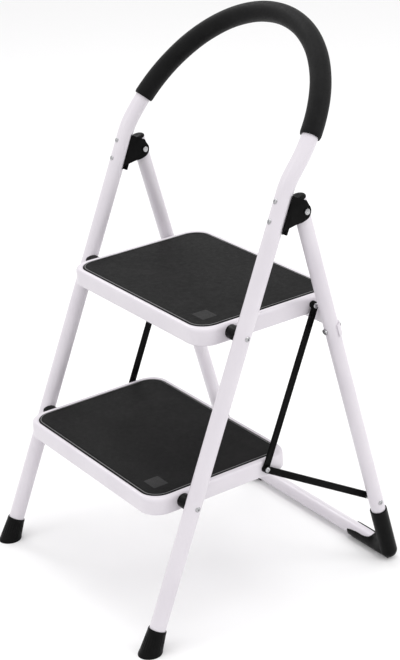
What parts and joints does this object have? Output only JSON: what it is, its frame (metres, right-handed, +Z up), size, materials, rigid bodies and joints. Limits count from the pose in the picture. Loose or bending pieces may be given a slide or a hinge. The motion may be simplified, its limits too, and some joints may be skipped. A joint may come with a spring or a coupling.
{
  "type": "folding step stool",
  "caption": "Folding two-step stool with an arched white tube frame, foam handrail, rubber-matted trays and black linkage bars.",
  "frame": {"origin": "centre of the footprint on the floor", "axes": "+Z up, +Y towards the back, +X to the right as seen by someone in front of the steps"},
  "size_m": [0.473, 0.4961, 0.8799],
  "materials": {
    "white_powder_coat": "satin powder coat",
    "black_foam": "matte closed-cell foam",
    "black_plastic": "satin moulded",
    "black_mat_rubber": "fine leather grain",
    "black_steel": "satin",
    "bright_rivet": "bright plated"
  },
  "bodies": {
    "front": {"front_frame": "white_powder_coat", "foam_grip": "black_foam", "front_foot_left": "black_plastic", "front_foot_right": "black_plastic", "hinge_bracket_left": "black_steel", "hinge_bracket_right": "black_steel", "bracket_rivets": "bright_rivet", "hinge_pin_left": "bright_rivet", "hinge_pin_right": "bright_rivet", "upper_step_rivets": "bright_rivet", "lower_step_rivets": "bright_rivet", "upper_spacer_left": "black_plastic", "upper_spacer_right": "black_plastic", "lower_spacer_left": "black_plastic", "lower_spacer_right": "black_plastic"},
    "rear_leg": {"rear_frame": "white_powder_coat", "rear_tube_plug_left": "black_plastic", "rear_tube_plug_right": "black_plastic", "corner_shoe_left": "black_plastic", "corner_shoe_right": "black_plastic", "rear_support_strap": "white_powder_coat", "strap_bolts": "bright_rivet", "strap_nuts": "bright_rivet", "rear_link_rivets": "bright_rivet"},
    "upper_step": {"upper_tray": "white_powder_coat", "upper_mat": "black_mat_rubber", "upper_link_rivets": "bright_rivet", "upper_link_washers": "black_plastic"},
    "lower_step": {"lower_tray": "white_powder_coat", "lower_mat": "black_mat_rubber", "lower_link_rivets": "bright_rivet", "lower_link_washers": "black_plastic"},
    "long_bar_left": {"long_link_left": "black_steel"},
    "short_bar_left": {"short_link_left": "black_steel", "short_link_pin_left": "bright_rivet"},
    "long_bar_right": {"long_link_right": "black_steel"},
    "short_bar_right": {"short_link_right": "black_steel", "short_link_pin_right": "bright_rivet"}
  },
  "joints": [
    {"name": "rear_fold", "type": "hinge", "parent": "front", "child": "rear_leg", "pos_m": [0, 0.0662, 0.6295], "axis": [-1, 0, 0], "range_deg": [0, 35.7]},
    {"name": "upper_step_fold", "type": "hinge", "parent": "front", "child": "upper_step", "pos_m": [0, -0.04293, 0.4593], "axis": [1, 0, 0], "range_deg": [0, 59.8]},
    {"name": "lower_step_fold", "type": "hinge", "parent": "front", "child": "lower_step", "pos_m": [0, -0.14107, 0.2164], "axis": [1, 0, 0], "range_deg": [0, 59.8]},
    {"name": "long_link_turn_left", "type": "hinge", "parent": "lower_step", "child": "long_bar_left", "pos_m": [-0.1938, 0.00884, 0.22163], "axis": [-1, 0, 0], "range_deg": [0, 59.8]},
    {"name": "short_link_turn_left", "type": "hinge", "parent": "lower_step", "child": "short_bar_left", "pos_m": [-0.1972, 0.00884, 0.22163], "axis": [-1, 0, 0], "range_deg": [0, 134.3]},
    {"name": "long_link_turn_right", "type": "hinge", "parent": "lower_step", "child": "long_bar_right", "pos_m": [0.1938, 0.00884, 0.22163], "axis": [-1, 0, 0], "range_deg": [0, 59.8]},
    {"name": "short_link_turn_right", "type": "hinge", "parent": "lower_step", "child": "short_bar_right", "pos_m": [0.1972, 0.00884, 0.22163], "axis": [-1, 0, 0], "range_deg": [0, 134.3]}
  ],
  "couplings": [
    {"joint": "upper_step_fold", "follows": "rear_fold", "ratio": 1.6631},
    {"joint": "lower_step_fold", "follows": "rear_fold", "ratio": 1.6631},
    {"joint": "long_link_turn_left", "follows": "rear_fold", "ratio": 1.6631},
    {"joint": "short_link_turn_left", "follows": "rear_fold", "ratio": 3.7481},
    {"joint": "long_link_turn_right", "follows": "rear_fold", "ratio": 1.6631},
    {"joint": "short_link_turn_right", "follows": "rear_fold", "ratio": 3.7481}
  ]
}
